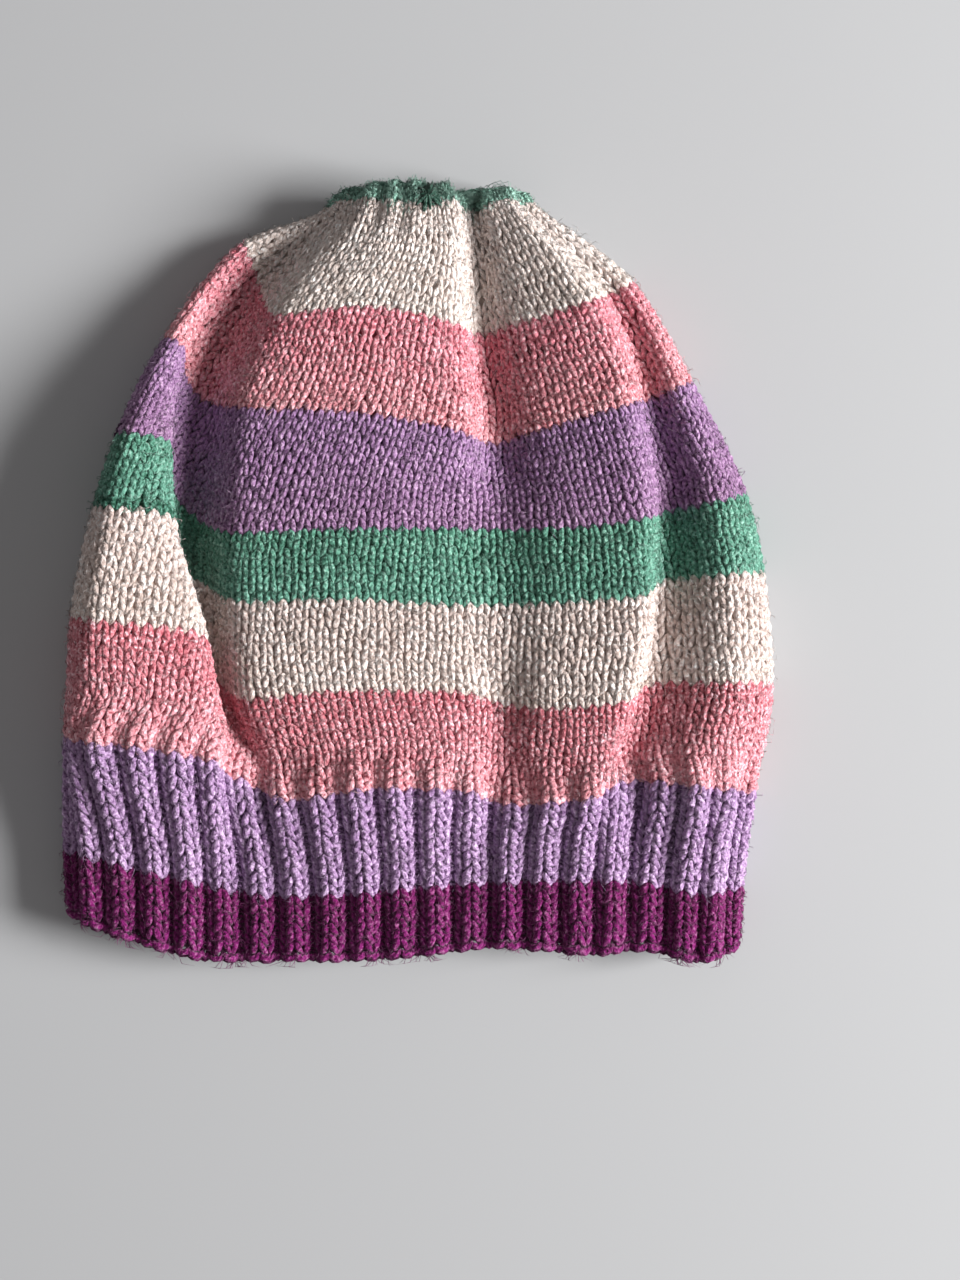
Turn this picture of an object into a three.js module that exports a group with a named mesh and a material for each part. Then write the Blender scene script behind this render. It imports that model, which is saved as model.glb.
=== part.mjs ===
// A hand-knitted slouch nightcap, lying on its back with the brim towards -Y and the crown towards +Y.
// Each colour of yarn is one ring of fabric: a hollow wall round the head, open at the brim and drawn
// up to a closed gather at the crown. Millimetres, +Z up, resting on z = 0.
import * as THREE from "three";

// Driving sizes, in millimetres.
const WIDTH = 236; // across the widest part of the flattened cap
const LENGTH = 252; // from the brim to the top of the crown
const LOFT = 25; // how far the puffed fabric stands above the flat, empty cap
const KNIT_WALL = 2.4; // plain fabric, one layer
const RIB_WALL = 2.5; // ribbed fabric, at a crest or at a valley
const RIB_DEPTH = 2.2; // from a rib's crest down to its valley
const GATHER_WALL = 2.8; // the drawn-up end
const BODY_SPACE = 2.6; // room left inside the flat body
const BRIM_SPACE = 6.2; // room left inside the brim, where the head goes in
const STRIPE_GAP = 0.3; // between one colour's ring and the next
const BEND_EASE = 3.6; // how far each way the fabric's stiffness spreads a bend
const SIDE_ROLL = 10; // how far the fabric rolls in under each side before it lies flat
const SCALLOP = 1.5; // how far each rib's foot hangs below the valleys at the hem
const DIMPLE = 7; // how far the middle of the gather is drawn in
const GATHER_ROUND = 1.5; // how far the gather's edge rounds over before it runs inwards

// Stitches.
const RIBS = 40;
const STITCHES_IN_RIB = 3; // two knitted, one purled
const FRONT_STITCHES = 62; // over the front from side to side; the rest lie underneath
const RIB_FADE = 5; // courses of plain fabric over which the ribs die out
const STITCHES = RIBS * STITCHES_IN_RIB;

// The spots that each cross-section runs through, from the left side over the front to the right side:
// the left lobe with its lip, tucked wall and recess, then the panel with its edge, ridge and dent,
// and the swelling, brow, groove and cheek on the right.
const SPOTS = [
  "left", "lobe", "lip", "tuck", "recess", "edge", "panel",
  "ridge", "dent", "swell", "brow", "groove", "cheek", "right",
];

// One row for each seam between colours, with the number of courses knitted up to it.
// Places across, in shares of the width from the left side.
const ACROSS = [
  {
    course: 0,
    at: [
      0.004, 0.050, 0.187, 0.221, 0.256, 0.304, 0.424,
      0.520, 0.572, 0.623, 0.754, 0.810, 0.889, 0.958,
    ],
  },
  {
    course: 6,
    at: [
      0.001, 0.052, 0.194, 0.231, 0.263, 0.308, 0.424,
      0.520, 0.572, 0.620, 0.754, 0.810, 0.889, 0.962,
    ],
  },
  {
    course: 16,
    at: [
      0.008, 0.054, 0.243, 0.248, 0.270, 0.318, 0.455,
      0.570, 0.618, 0.655, 0.757, 0.782, 0.888, 0.976,
    ],
  },
  {
    course: 26,
    at: [
      0.020, 0.064, 0.224, 0.201, 0.231, 0.265, 0.407,
      0.572, 0.620, 0.662, 0.795, 0.817, 0.932, 0.998,
    ],
  },
  {
    course: 35,
    at: [
      0.052, 0.088, 0.179, 0.154, 0.201, 0.258, 0.407,
      0.545, 0.613, 0.696, 0.817, 0.838, 0.928, 0.985,
    ],
  },
  {
    course: 43,
    at: [
      0.084, 0.114, 0.172, 0.151, 0.188, 0.256, 0.407,
      0.545, 0.610, 0.690, 0.817, 0.842, 0.914, 0.960,
    ],
  },
  {
    course: 54,
    at: [
      0.146, 0.166, 0.188, 0.178, 0.202, 0.270, 0.420,
      0.572, 0.606, 0.662, 0.795, 0.820, 0.860, 0.885,
    ],
  },
  {
    course: 65,
    at: [
      0.256, 0.261, 0.267, 0.270, 0.277, 0.306, 0.435,
      0.561, 0.589, 0.634, 0.748, 0.770, 0.789, 0.803,
    ],
  },
  {
    course: 77,
    at: [
      0.369, 0.378, 0.388, 0.395, 0.403, 0.422, 0.477,
      0.556, 0.576, 0.595, 0.628, 0.642, 0.655, 0.667,
    ],
  },
  {
    course: 80,
    at: [
      0.380, 0.389, 0.398, 0.405, 0.412, 0.430, 0.477,
      0.550, 0.569, 0.587, 0.620, 0.634, 0.647, 0.660,
    ],
  },
];

// Places along the cap, in shares of the length from the brim.
const ALONG = [
  {
    course: 0,
    at: [
      0.067, 0.052, 0.015, 0.009, 0.008, 0.008, 0.010,
      0.017, 0.022, 0.025, 0.018, 0.023, 0.006, 0.025,
    ],
  },
  {
    course: 6,
    at: [
      0.138, 0.128, 0.097, 0.089, 0.084, 0.079, 0.083,
      0.092, 0.095, 0.097, 0.099, 0.097, 0.081, 0.090,
    ],
  },
  {
    course: 16,
    at: [
      0.286, 0.280, 0.248, 0.239, 0.226, 0.204, 0.221,
      0.217, 0.199, 0.200, 0.212, 0.230, 0.223, 0.212,
    ],
  },
  {
    course: 26,
    at: [
      0.439, 0.434, 0.409, 0.386, 0.347, 0.332, 0.345,
      0.341, 0.325, 0.321, 0.332, 0.352, 0.355, 0.354,
    ],
  },
  {
    course: 35,
    at: [
      0.581, 0.577, 0.566, 0.532, 0.483, 0.458, 0.462,
      0.455, 0.455, 0.458, 0.467, 0.488, 0.494, 0.498,
    ],
  },
  {
    course: 43,
    at: [
      0.674, 0.671, 0.663, 0.628, 0.570, 0.546, 0.551,
      0.552, 0.551, 0.552, 0.564, 0.575, 0.587, 0.601,
    ],
  },
  {
    course: 54,
    at: [
      0.799, 0.795, 0.786, 0.760, 0.721, 0.705, 0.698,
      0.672, 0.663, 0.677, 0.711, 0.721, 0.734, 0.747,
    ],
  },
  {
    course: 65,
    at: [
      0.929, 0.922, 0.910, 0.900, 0.878, 0.822, 0.832,
      0.810, 0.805, 0.814, 0.844, 0.858, 0.867, 0.876,
    ],
  },
  {
    course: 77,
    at: [
      0.972, 0.973, 0.975, 0.975, 0.976, 0.976, 0.967,
      0.971, 0.960, 0.966, 0.977, 0.969, 0.977, 0.980,
    ],
  },
  {
    course: 80,
    at: [
      0.990, 0.991, 0.993, 0.994, 0.995, 0.996, 0.999,
      0.994, 0.982, 0.987, 0.993, 0.991, 0.991, 0.991,
    ],
  },
];

// Heights above the flat, empty cap, in shares of the loft. The two sides count from the floor.
const HEIGHT = [
  { course: 0, at: [0.26, 0.06, 0.10, 0.06, 0.03, 0.04, 0.09, 0.05, 0.00, 0.05, 0.11, 0.02, 0.09, 0.26] },
  { course: 6, at: [0.28, 0.10, 0.13, 0.08, 0.04, 0.06, 0.11, 0.07, 0.01, 0.07, 0.13, 0.04, 0.11, 0.28] },
  {
    course: 16,
    at: [
      0.34, 0.62, 0.32, 0.20, 0.04, 0.18, 0.30,
      0.22, 0.08, 0.22, 0.34, 0.06, 0.38, 0.30,
    ],
  },
  {
    course: 26,
    at: [
      0.44, 0.98, 0.50, 0.30, 0.04, 0.46, 0.54,
      0.42, 0.26, 0.48, 0.64, 0.14, 0.56, 0.36,
    ],
  },
  {
    course: 35,
    at: [
      0.46, 1.00, 0.55, 0.32, 0.02, 0.60, 0.66,
      0.56, 0.48, 0.64, 0.74, 0.12, 0.58, 0.38,
    ],
  },
  {
    course: 43,
    at: [
      0.46, 0.94, 0.54, 0.31, 0.02, 0.64, 0.70,
      0.58, 0.46, 0.64, 0.78, 0.12, 0.56, 0.38,
    ],
  },
  {
    course: 54,
    at: [
      0.38, 0.64, 0.44, 0.26, 0.02, 0.66, 0.74,
      0.62, 0.18, 0.50, 0.76, 0.14, 0.50, 0.36,
    ],
  },
  {
    course: 65,
    at: [
      0.30, 0.32, 0.30, 0.17, 0.04, 0.66, 0.80,
      0.66, 0.08, 0.46, 0.76, 0.18, 0.44, 0.34,
    ],
  },
  {
    course: 77,
    at: [
      0.30, 0.24, 0.34, 0.38, 0.42, 0.60, 0.74,
      0.70, 0.26, 0.58, 0.68, 0.36, 0.30, 0.32,
    ],
  },
  {
    course: 80,
    at: [
      0.28, 0.14, 0.22, 0.28, 0.32, 0.42, 0.52,
      0.48, 0.26, 0.42, 0.46, 0.32, 0.20, 0.30,
    ],
  },
];

// The back layer lies a little further in than the front at the hem, so the front hem hides it.
const BACK_HEM_RISE = 0.018;
const PUCKER_ACROSS = 0.521; // where the gather is drawn together, in shares of the width
const BRIM_COURSES = 16;
const TOP_COURSE = ACROSS[ACROSS.length - 1].course;

// Rings of colour, from the brim up: the courses that each one spans and the rows of faces along it.
const RINGS = [
  { name: "hem_edge", from: 0, to: 6, rows: 1, color: "#8a1c6c" },
  { name: "rib_band", from: 6, to: 16, rows: 2, color: "#b49ac8" },
  { name: "stripe_pink_low", from: 16, to: 26, rows: 2, color: "#d8848a" },
  { name: "stripe_cream_low", from: 26, to: 35, rows: 1, color: "#dccdc2" },
  { name: "stripe_green", from: 35, to: 43, rows: 1, color: "#4fa27f" },
  { name: "stripe_purple", from: 43, to: 54, rows: 2, color: "#9a78b0" },
  { name: "stripe_pink_high", from: 54, to: 65, rows: 2, color: "#d67f82" },
  { name: "stripe_cream_high", from: 65, to: 77, rows: 2, color: "#dccdc2" },
];
const GATHER = { name: "crown_gather", from: 77, color: "#3a8c6e" };
const GATHER_FACE = [0.7, 0.28]; // rings of the closed end, in shares of its rim

// Steady slopes through a run of values: no overshoot, and level where the run turns back.
function slopes(at, value, loops) {
  const n = value.length;
  const step = (k) => at[k + 1] - at[k];
  const rate = (k) => (value[k + 1] - value[k]) / step(k);
  return value.map((_, k) => {
    const first = k === 0;
    const last = k === n - 1;
    if (!loops && first) return rate(0);
    if (!loops && last) return rate(n - 2);
    const before = first || last ? n - 2 : k - 1;
    const after = first || last ? 0 : k;
    const [a, b] = [rate(before), rate(after)];
    if (a * b <= 0) return 0;
    const [p, q] = [2 * step(after) + step(before), step(after) + 2 * step(before)];
    return (p + q) / (p / a + q / b);
  });
}

function curveAt(at, value, slope, t) {
  let k = 0;
  while (k < at.length - 2 && t > at[k + 1]) k += 1;
  const h = at[k + 1] - at[k];
  const s = (t - at[k]) / h;
  const [s2, s3] = [s * s, s * s * s];
  return (
    (2 * s3 - 3 * s2 + 1) * value[k] +
    (s3 - 2 * s2 + s) * h * slope[k] +
    (3 * s2 - 2 * s3) * value[k + 1] +
    (s3 - s2) * h * slope[k + 1]
  );
}

// A table's value at one spot and any course.
const trackCache = new Map();
function track(table, spot, course) {
  const key = `${table === ACROSS}${table === ALONG}${spot}`;
  if (!trackCache.has(key)) {
    const at = table.map((row) => row.course);
    const value = table.map((row) => row.at[spot]);
    trackCache.set(key, { at, value, slope: slopes(at, value, false) });
  }
  const { at, value, slope } = trackCache.get(key);
  return curveAt(at, value, slope, course);
}

const smooth = (t) => {
  const s = Math.min(Math.max(t, 0), 1);
  return s * s * (3 - 2 * s);
};

// How much of the ribbing is left at a course: all of it in the brim, none a few courses above.
const ribShare = (course) => 1 - smooth((course - BRIM_COURSES) / RIB_FADE);

// Fabric thickness at a course, without the relief of the ribs.
const wallAt = (course) => {
  const body = KNIT_WALL + (RIB_WALL - KNIT_WALL) * ribShare(course);
  return body + (GATHER_WALL - body) * smooth((course - GATHER.from) / (TOP_COURSE - GATHER.from));
};

// Thickness of the flat, empty cap at a course: two layers and the room between them.
const flatAt = (course) => {
  const ribs = ribShare(course);
  const space = BODY_SPACE + (BRIM_SPACE - BODY_SPACE) * ribs;
  return 2 * (wallAt(course) + RIB_DEPTH * ribs) + space;
};

// The loop of spots at a course: over the front from left to right, round the right side,
// back along the floor and up the left side to the start.
function sectionSpots(course) {
  const last = SPOTS.length - 1;
  const flat = flatAt(course);
  const front = SPOTS.map((_, k) => {
    const side = k === 0 || k === last;
    const rise = track(HEIGHT, k, course) * LOFT;
    return new THREE.Vector3(
      (track(ACROSS, k, course) - 0.5) * WIDTH,
      track(ALONG, k, course) * LENGTH,
      side ? rise : flat + rise,
    );
  });
  const [left, right] = [front[0], front[last]];
  const roll = Math.min(SIDE_ROLL, (right.x - left.x) / 4);
  const hem = BACK_HEM_RISE * LENGTH * (1 - smooth(course / BRIM_COURSES));
  const corner = 1 - Math.SQRT1_2;
  const middle = new THREE.Vector3((left.x + right.x) / 2, (left.y + right.y) / 2 + hem, 0);
  const under = (side, inward) => [
    new THREE.Vector3(side.x + inward * corner * roll, side.y + hem * 0.3, side.z * corner),
    new THREE.Vector3(side.x + inward * roll, side.y + hem, 0),
  ];
  return [...front, ...under(right, -1), middle, ...under(left, 1).reverse(), left.clone()];
}

// A closed chain of points, with the length run so far at each; the last point repeats the first.
function measured(points) {
  const run = [0];
  for (let k = 1; k < points.length; k += 1) {
    run.push(run[k - 1] + points[k].distanceTo(points[k - 1]));
  }
  return { points, run };
}

function pointAtRun({ points, run }, goal) {
  let [low, high] = [0, run.length - 1];
  while (high - low > 1) {
    const mid = (low + high) >> 1;
    if (run[mid] <= goal) low = mid;
    else high = mid;
  }
  return points[low].clone().lerp(points[high], (goal - run[low]) / (run[high] - run[low]));
}

// Even points round a chain, each then moved to the middle of its neighbours within the reach.
function eased(chain, reach) {
  const total = chain.run[chain.run.length - 1];
  const even = Array.from({ length: EVEN_POINTS }, (_, k) =>
    pointAtRun(chain, (k * total) / EVEN_POINTS),
  );
  const span = Math.round((reach * EVEN_POINTS) / total);
  const points = even.map((_, k) => {
    const sum = new THREE.Vector3();
    for (let i = -span; i <= span; i += 1) {
      sum.add(even[(k + i + EVEN_POINTS) % EVEN_POINTS]);
    }
    return sum.divideScalar(2 * span + 1);
  });
  return measured([...points, points[0].clone()]);
}

// The section at a course: a smooth curve through its spots, eased twice so that no bend is sharp.
const FINE_STEPS = 24;
const EVEN_POINTS = 480;
const sectionCache = new Map();
function section(course) {
  if (sectionCache.has(course)) return sectionCache.get(course);
  const spots = sectionSpots(course);
  const at = [0];
  for (let k = 1; k < spots.length; k += 1) {
    const [a, b] = [spots[k - 1], spots[k]];
    at.push(at[k - 1] + Math.hypot(b.x - a.x, b.z - a.z) + 0.2 * Math.abs(b.y - a.y));
  }
  const axes = ["x", "y", "z"].map((axis) => {
    const value = spots.map((p) => p[axis]);
    return { value, slope: slopes(at, value, true) };
  });
  const points = [];
  for (let k = 0; k < spots.length - 1; k += 1) {
    for (let i = 0; i < FINE_STEPS; i += 1) {
      const t = at[k] + ((at[k + 1] - at[k]) * i) / FINE_STEPS;
      points.push(new THREE.Vector3(...axes.map((a) => curveAt(at, a.value, a.slope, t))));
    }
  }
  const chain = measured([...points, points[0].clone()]);
  const made = eased(eased(chain, BEND_EASE), BEND_EASE);
  const across = made.points.map((p) => p.x);
  made.rightSide = made.run[across.indexOf(Math.max(...across))];
  sectionCache.set(course, made);
  return made;
}

// A point of the outer face: the stitch counted round from the left side, and the course.
// The front's stitches share the front evenly, and the rest share the back.
function facePoint(stitch, course) {
  const chain = section(course);
  const counted = (stitch + STITCHES) % STITCHES;
  const total = chain.run[chain.run.length - 1];
  if (counted <= FRONT_STITCHES) return pointAtRun(chain, (chain.rightSide * counted) / FRONT_STITCHES);
  const share = (counted - FRONT_STITCHES) / (STITCHES - FRONT_STITCHES);
  return pointAtRun(chain, chain.rightSide + (total - chain.rightSide) * share);
}

// The outward normal at a point, and the direction in the fabric square to its course.
function faceFrame(stitch, course) {
  const low = Math.max(course - 0.5, 0);
  const high = Math.min(course + 0.5, TOP_COURSE);
  const round = facePoint(stitch + 0.6, course).sub(facePoint(stitch - 0.6, course)).normalize();
  const up = facePoint(stitch, high).sub(facePoint(stitch, low));
  const out = round.clone().cross(up).normalize();
  return { up: out.clone().cross(round), out };
}

const isPurl = (stitch) => stitch % STITCHES_IN_RIB === STITCHES_IN_RIB - 1;

// One pair of rings, outside and inside, at a course; shift moves it towards the crown.
function ringPair(course, shift) {
  const pair = { outer: [], inner: [] };
  for (let stitch = 0; stitch < STITCHES; stitch += 1) {
    const middle = stitch + 0.5;
    const { up, out } = faceFrame(middle, course);
    const valley = isPurl(stitch) ? RIB_DEPTH * ribShare(course) : 0;
    const hang = course === 0 && isPurl(stitch) ? SCALLOP : 0;
    const point = facePoint(middle, course).addScaledVector(up, shift + hang);
    pair.outer.push(point.clone().addScaledVector(out, -valley));
    pair.inner.push(point.clone().addScaledVector(out, -valley - wallAt(course)));
  }
  return pair;
}

// Triangles between two rings of the same number of points.
function band(faces, low, high) {
  low.forEach((_, i) => {
    const j = (i + 1) % low.length;
    faces.push(low[i], low[j], high[j], low[i], high[j], high[i]);
  });
}

// The flat end of a wall, split the same way at both ends so that two facing ends lie evenly apart.
function wallEnd(faces, { outer, inner }, facesCrown) {
  outer.forEach((_, i) => {
    const j = (i + 1) % outer.length;
    if (facesCrown) faces.push(outer[i], outer[j], inner[i], outer[j], inner[j], inner[i]);
    else faces.push(outer[i], inner[i], outer[j], outer[j], inner[i], inner[j]);
  });
}

// Both faces of a wall through several pairs of rings, with its end at the brim side.
function wallFaces(pairs) {
  const faces = [];
  for (let k = 1; k < pairs.length; k += 1) {
    band(faces, pairs[k - 1].outer, pairs[k].outer);
    band(faces, pairs[k].inner, pairs[k - 1].inner);
  }
  wallEnd(faces, pairs[0], false);
  return faces;
}

function geometryOf(faces) {
  const geometry = new THREE.BufferGeometry().setFromPoints(faces);
  geometry.computeVertexNormals();
  return geometry;
}

// A hollow ring of fabric through several pairs of rings, open at both ends.
function ringGeometry(pairs) {
  const faces = wallFaces(pairs);
  wallEnd(faces, pairs[pairs.length - 1], true);
  return geometryOf(faces);
}

function stripePairs({ from, to, rows }) {
  const pairs = [];
  for (let k = 0; k <= rows; k += 1) {
    const course = from + ((to - from) * k) / rows;
    let shift = 0;
    if (k === 0 && from > 0) shift = STRIPE_GAP / 2;
    if (k === rows) shift = -STRIPE_GAP / 2;
    pairs.push(ringPair(course, shift));
  }
  return pairs;
}

// The drawn-up end: a short ring that turns over and closes to a dimple in the middle.
function gatherGeometry() {
  const pairs = [ringPair(GATHER.from, STRIPE_GAP / 2), ringPair(TOP_COURSE, 0)];
  const rim = pairs[1];
  const box = new THREE.Box3().setFromPoints(rim.outer);
  const centre = box.getCenter(new THREE.Vector3());
  centre.x = (PUCKER_ACROSS - 0.5) * WIDTH;
  const close = (ring, share, depth) =>
    ring.map((p) => p.clone().lerp(centre, 1 - share).setY(p.y * share + centre.y * (1 - share) + depth));
  const depthAt = (share) => GATHER_ROUND * Math.sqrt(share) - DIMPLE * smooth(1 - share);
  for (const share of GATHER_FACE) {
    pairs.push({
      outer: close(rim.outer, share, depthAt(share)),
      inner: close(rim.inner, share, depthAt(share) - GATHER_WALL),
    });
  }
  const faces = wallFaces(pairs);
  const last = pairs[pairs.length - 1];
  const middleOf = (ring) =>
    ring.reduce((sum, p) => sum.add(p), new THREE.Vector3()).divideScalar(ring.length);
  const [outerTip, innerTip] = [middleOf(last.outer), middleOf(last.inner)];
  last.outer.forEach((p, i) => {
    const j = (i + 1) % last.outer.length;
    faces.push(p, last.outer[j], outerTip);
    faces.push(last.inner[j], last.inner[i], innerTip);
  });
  return geometryOf(faces);
}

function yarnMesh(name, color, geometry) {
  const material = new THREE.MeshStandardMaterial({ color, roughness: 0.92, metalness: 0 });
  const mesh = new THREE.Mesh(geometry, material);
  mesh.name = name;
  return mesh;
}

// The cap, moved so that the origin is under the middle of its box.
const cap = new THREE.Group();
for (const ring of RINGS) cap.add(yarnMesh(ring.name, ring.color, ringGeometry(stripePairs(ring))));
cap.add(yarnMesh(GATHER.name, GATHER.color, gatherGeometry()));
const box = new THREE.Box3().setFromObject(cap);
const centre = box.getCenter(new THREE.Vector3());
cap.position.set(-centre.x, -centre.y, -box.min.z);

const nightcap = new THREE.Group();
nightcap.add(cap);

export default nightcap;
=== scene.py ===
# A hand-knitted striped nightcap, lying flat: every stitch is laid on the folded fabric.
import math

import bmesh
import bpy
import numpy as np
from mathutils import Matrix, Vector


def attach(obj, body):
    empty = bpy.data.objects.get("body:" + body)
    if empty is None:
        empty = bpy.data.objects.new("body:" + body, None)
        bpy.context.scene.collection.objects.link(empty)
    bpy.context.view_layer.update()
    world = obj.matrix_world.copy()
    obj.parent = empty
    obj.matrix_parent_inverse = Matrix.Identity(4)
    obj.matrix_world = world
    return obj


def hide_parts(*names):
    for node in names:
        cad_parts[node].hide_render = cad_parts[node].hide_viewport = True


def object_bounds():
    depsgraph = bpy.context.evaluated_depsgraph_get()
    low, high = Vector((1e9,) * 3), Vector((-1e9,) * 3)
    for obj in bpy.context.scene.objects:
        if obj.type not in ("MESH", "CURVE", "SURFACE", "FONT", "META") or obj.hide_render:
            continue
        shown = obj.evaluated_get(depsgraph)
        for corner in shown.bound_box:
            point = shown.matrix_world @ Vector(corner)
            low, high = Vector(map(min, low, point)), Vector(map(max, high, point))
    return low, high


bl_info = {
    "name": "Striped nightcap",
    "version": (1, 0, 0),
    "blender": (4, 5, 0),
    "location": "View3D > Sidebar > Nightcap",
    "description": "Knits a striped slouch nightcap stitch by stitch on its folded fabric",
    "category": "Object",
}

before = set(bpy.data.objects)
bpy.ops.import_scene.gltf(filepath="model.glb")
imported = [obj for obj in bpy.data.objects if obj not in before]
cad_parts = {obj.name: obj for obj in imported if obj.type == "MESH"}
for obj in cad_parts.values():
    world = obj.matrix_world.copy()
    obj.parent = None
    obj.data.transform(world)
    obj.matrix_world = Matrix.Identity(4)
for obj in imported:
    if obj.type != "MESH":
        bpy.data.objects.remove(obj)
CAD_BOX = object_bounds()

MM = 0.001

# Stitches round the cap: forty ribs of two knitted and one purled stitch, then fewer in the crown.
STITCHES_IN_RIB = 3
STITCHES = 40 * STITCHES_IN_RIB
FRONT_STITCHES = 62  # over the front, the rest lie underneath
# Stitches left in the round from a course on, as the crown is decreased.
DECREASES = [(0, STITCHES), (54, 96), (62, 84), (68, 70), (73, 60), (77, 50)]
BRIM_COURSES = 16
RIB_FADE = 5  # courses over which the ribs die out
GATHER_COURSE = 77
TOP_COURSE = 80  # the gather's rim, from which its face runs in to the last course
CLOSED_COURSE = 84

# The spots that each cross-section runs through: left, lobe, lip, tuck, recess, edge, panel,
# ridge, dent, swell, brow, groove, cheek, right. One row for each seam between colours.
SEAM_COURSES = [0, 6, 16, 26, 35, 43, 54, 65, 77, 80]
ACROSS = [  # shares of the width from the left side
    [0.004, 0.050, 0.187, 0.221, 0.256, 0.304, 0.424, 0.520, 0.572, 0.623, 0.754, 0.810, 0.889, 0.958],
    [0.001, 0.052, 0.194, 0.231, 0.263, 0.308, 0.424, 0.520, 0.572, 0.620, 0.754, 0.810, 0.889, 0.962],
    [0.008, 0.054, 0.243, 0.248, 0.270, 0.318, 0.455, 0.570, 0.618, 0.655, 0.757, 0.782, 0.888, 0.976],
    [0.020, 0.064, 0.224, 0.201, 0.231, 0.265, 0.407, 0.572, 0.620, 0.662, 0.795, 0.817, 0.932, 0.998],
    [0.052, 0.088, 0.179, 0.154, 0.201, 0.258, 0.407, 0.545, 0.613, 0.696, 0.817, 0.838, 0.928, 0.985],
    [0.084, 0.114, 0.172, 0.151, 0.188, 0.256, 0.407, 0.545, 0.610, 0.690, 0.817, 0.842, 0.914, 0.960],
    [0.146, 0.166, 0.188, 0.178, 0.202, 0.270, 0.420, 0.572, 0.606, 0.662, 0.795, 0.820, 0.860, 0.885],
    [0.256, 0.261, 0.267, 0.270, 0.277, 0.306, 0.435, 0.561, 0.589, 0.634, 0.748, 0.770, 0.789, 0.803],
    [0.369, 0.378, 0.388, 0.395, 0.403, 0.422, 0.477, 0.556, 0.576, 0.595, 0.628, 0.642, 0.655, 0.667],
    [0.380, 0.389, 0.398, 0.405, 0.412, 0.430, 0.477, 0.550, 0.569, 0.587, 0.620, 0.634, 0.647, 0.660],
]
ALONG = [  # shares of the length from the brim
    [0.067, 0.052, 0.015, 0.009, 0.008, 0.008, 0.010, 0.017, 0.022, 0.025, 0.018, 0.023, 0.006, 0.025],
    [0.138, 0.128, 0.097, 0.089, 0.084, 0.079, 0.083, 0.092, 0.095, 0.097, 0.099, 0.097, 0.081, 0.090],
    [0.286, 0.280, 0.248, 0.239, 0.226, 0.204, 0.221, 0.217, 0.199, 0.200, 0.212, 0.230, 0.223, 0.212],
    [0.439, 0.434, 0.409, 0.386, 0.347, 0.332, 0.345, 0.341, 0.325, 0.321, 0.332, 0.352, 0.355, 0.354],
    [0.581, 0.577, 0.566, 0.532, 0.483, 0.458, 0.462, 0.455, 0.455, 0.458, 0.467, 0.488, 0.494, 0.498],
    [0.674, 0.671, 0.663, 0.628, 0.570, 0.546, 0.551, 0.552, 0.551, 0.552, 0.564, 0.575, 0.587, 0.601],
    [0.799, 0.795, 0.786, 0.760, 0.721, 0.705, 0.698, 0.672, 0.663, 0.677, 0.711, 0.721, 0.734, 0.747],
    [0.929, 0.922, 0.910, 0.900, 0.878, 0.822, 0.832, 0.810, 0.805, 0.814, 0.844, 0.858, 0.867, 0.876],
    [0.972, 0.973, 0.975, 0.975, 0.976, 0.976, 0.967, 0.971, 0.960, 0.966, 0.977, 0.969, 0.977, 0.980],
    [0.990, 0.991, 0.993, 0.994, 0.995, 0.996, 0.999, 0.994, 0.982, 0.987, 0.993, 0.991, 0.991, 0.991],
]
HEIGHT = [  # shares of the loft above the flat cap; the two sides count from the floor
    [0.26, 0.06, 0.10, 0.06, 0.03, 0.04, 0.09, 0.05, 0.00, 0.05, 0.11, 0.02, 0.09, 0.26],
    [0.28, 0.10, 0.13, 0.08, 0.04, 0.06, 0.11, 0.07, 0.01, 0.07, 0.13, 0.04, 0.11, 0.28],
    [0.34, 0.62, 0.32, 0.20, 0.04, 0.18, 0.30, 0.22, 0.08, 0.22, 0.34, 0.06, 0.38, 0.30],
    [0.44, 0.98, 0.50, 0.30, 0.04, 0.46, 0.54, 0.42, 0.26, 0.48, 0.64, 0.14, 0.56, 0.36],
    [0.46, 1.00, 0.55, 0.32, 0.02, 0.60, 0.66, 0.56, 0.48, 0.64, 0.74, 0.12, 0.58, 0.38],
    [0.46, 0.94, 0.54, 0.31, 0.02, 0.64, 0.70, 0.58, 0.46, 0.64, 0.78, 0.12, 0.56, 0.38],
    [0.38, 0.64, 0.44, 0.26, 0.02, 0.66, 0.74, 0.62, 0.18, 0.50, 0.76, 0.14, 0.50, 0.36],
    [0.30, 0.32, 0.30, 0.17, 0.04, 0.66, 0.80, 0.66, 0.08, 0.46, 0.76, 0.18, 0.44, 0.34],
    [0.30, 0.24, 0.34, 0.38, 0.42, 0.60, 0.74, 0.70, 0.26, 0.58, 0.68, 0.36, 0.30, 0.32],
    [0.28, 0.14, 0.22, 0.28, 0.32, 0.42, 0.52, 0.48, 0.26, 0.42, 0.46, 0.32, 0.20, 0.30],
]
BACK_HEM_RISE = 0.018  # how far the back hides behind the front hem, in shares of the length
PUCKER_ACROSS = 0.521  # where the crown is drawn together, in shares of the width
# Pleats of the drawn-up crown: how many, how deep, where they start and over how many courses.
PLEATS = 19
PLEAT_DEPTH = 0.0008
PLEAT_SINK = 0.6
PLEAT_COURSE, PLEAT_FADE = 70, 8
PLEAT_STRAY, PLEAT_SWING = 0.9, 0.31
PURL_MIDDLE = 2.5  # where the valley lies in a rib, in stitches
VALLEY_SHARPNESS = 1.3


def srgb(code):
    """A colour written as six hexadecimal digits, as linear red, green and blue."""
    parts = [int(code[i:i + 2], 16) / 255 for i in (0, 2, 4)]
    return tuple(c / 12.92 if c <= 0.04045 else ((c + 0.055) / 1.055) ** 2.4 for c in parts)


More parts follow.
